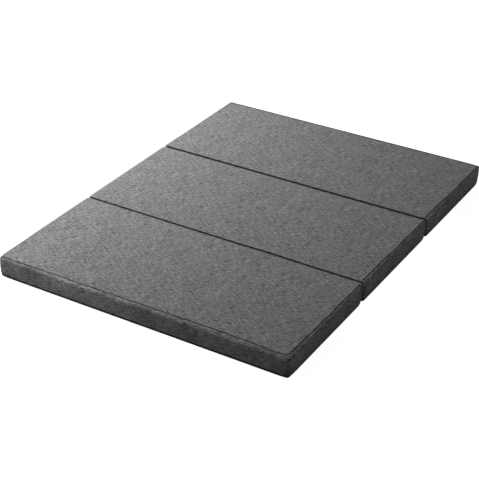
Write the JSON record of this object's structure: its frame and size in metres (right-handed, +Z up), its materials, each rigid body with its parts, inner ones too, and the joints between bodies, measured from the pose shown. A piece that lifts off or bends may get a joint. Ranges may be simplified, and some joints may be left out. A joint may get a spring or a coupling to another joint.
{
  "type": "folding mattress",
  "caption": "Flat rectangular foam mattress in panels with zipped fabric covers, hinged by sewn tapes so that it folds in a Z into a stack.",
  "frame": {"origin": "on the floor under the middle of the mattress laid flat", "axes": "+X runs along the fold lines to the end without zips, +Y runs from the near panel to the far panel, +Z points up from the underside to the sleeping side"},
  "size_m": [1.5056, 2, 0.1],
  "materials": {
    "top_fabric": "matte",
    "border_fabric": "matte",
    "underside_fabric": "matte",
    "hinge_tape": "matte",
    "zip_tape": "matte",
    "zip_chain": "satin",
    "zip_metal": "satin",
    "liner_fabric": "matte",
    "support_foam": "matte",
    "comfort_foam": "matte"
  },
  "bodies": {
    "far_panel": {"far_base_foam": "support_foam", "far_comfort_foam": "comfort_foam", "far_inner_liner": "liner_fabric", "far_bottom_cover": "underside_fabric", "far_border": "border_fabric", "far_zip_strip_upper": "border_fabric", "far_zip_strip_lower": "border_fabric", "far_top_cover": "top_fabric", "far_zip_tape_upper": "zip_tape", "far_zip_tape_lower": "zip_tape", "far_zip_chain": "zip_chain", "middle_far_hinge_tape": "hinge_tape"},
    "middle_panel": {"middle_base_foam": "support_foam", "middle_comfort_foam": "comfort_foam", "middle_inner_liner": "liner_fabric", "middle_bottom_cover": "underside_fabric", "middle_border": "border_fabric", "middle_zip_strip_upper": "border_fabric", "middle_zip_strip_lower": "border_fabric", "middle_top_cover": "top_fabric", "middle_zip_tape_upper": "zip_tape", "middle_zip_tape_lower": "zip_tape", "middle_zip_chain": "zip_chain", "near_middle_hinge_tape": "hinge_tape"},
    "near_panel": {"near_base_foam": "support_foam", "near_comfort_foam": "comfort_foam", "near_inner_liner": "liner_fabric", "near_bottom_cover": "underside_fabric", "near_border": "border_fabric", "near_zip_strip_upper": "border_fabric", "near_zip_strip_lower": "border_fabric", "near_top_cover": "top_fabric", "near_zip_tape_upper": "zip_tape", "near_zip_tape_lower": "zip_tape", "near_zip_chain": "zip_chain"},
    "far_slider": {"far_zip_slider": "zip_metal"},
    "far_pull": {"far_zip_pull": "zip_metal"},
    "middle_slider": {"middle_zip_slider": "zip_metal"},
    "middle_pull": {"middle_zip_pull": "zip_metal"},
    "near_slider": {"near_zip_slider": "zip_metal"},
    "near_pull": {"near_zip_pull": "zip_metal"}
  },
  "joints": [
    {"name": "upper_fold", "type": "hinge", "parent": "far_panel", "child": "middle_panel", "pos_m": [0, 0.33375, 0.1003], "axis": [-1, 0, 0], "range_deg": [0, 180], "deforming": ["middle_far_hinge_tape"]},
    {"name": "lower_fold", "type": "hinge", "parent": "middle_panel", "child": "near_panel", "pos_m": [0, -0.33375, -0.0003], "axis": [1, 0, 0], "range_deg": [0, 180], "deforming": ["near_middle_hinge_tape"]},
    {"name": "far_zip_slide", "type": "slide", "parent": "far_panel", "child": "far_slider", "axis": [0, 1, 0], "range_m": [0, 0.5773]},
    {"name": "far_pull_turn", "type": "hinge", "parent": "far_slider", "child": "far_pull", "pos_m": [-0.75352, 0.37882, 0.05], "axis": [0, 0, 1], "range_deg": [0, 180]},
    {"name": "middle_zip_slide", "type": "slide", "parent": "middle_panel", "child": "middle_slider", "axis": [0, 1, 0], "range_m": [0, 0.5773]},
    {"name": "middle_pull_turn", "type": "hinge", "parent": "middle_slider", "child": "middle_pull", "pos_m": [-0.75352, -0.28868, 0.05], "axis": [0, 0, 1], "range_deg": [0, 180]},
    {"name": "near_zip_slide", "type": "slide", "parent": "near_panel", "child": "near_slider", "axis": [0, 1, 0], "range_m": [0, 0.5773]},
    {"name": "near_pull_turn", "type": "hinge", "parent": "near_slider", "child": "near_pull", "pos_m": [-0.75352, -0.95618, 0.05], "axis": [0, 0, 1], "range_deg": [0, 180]}
  ]
}
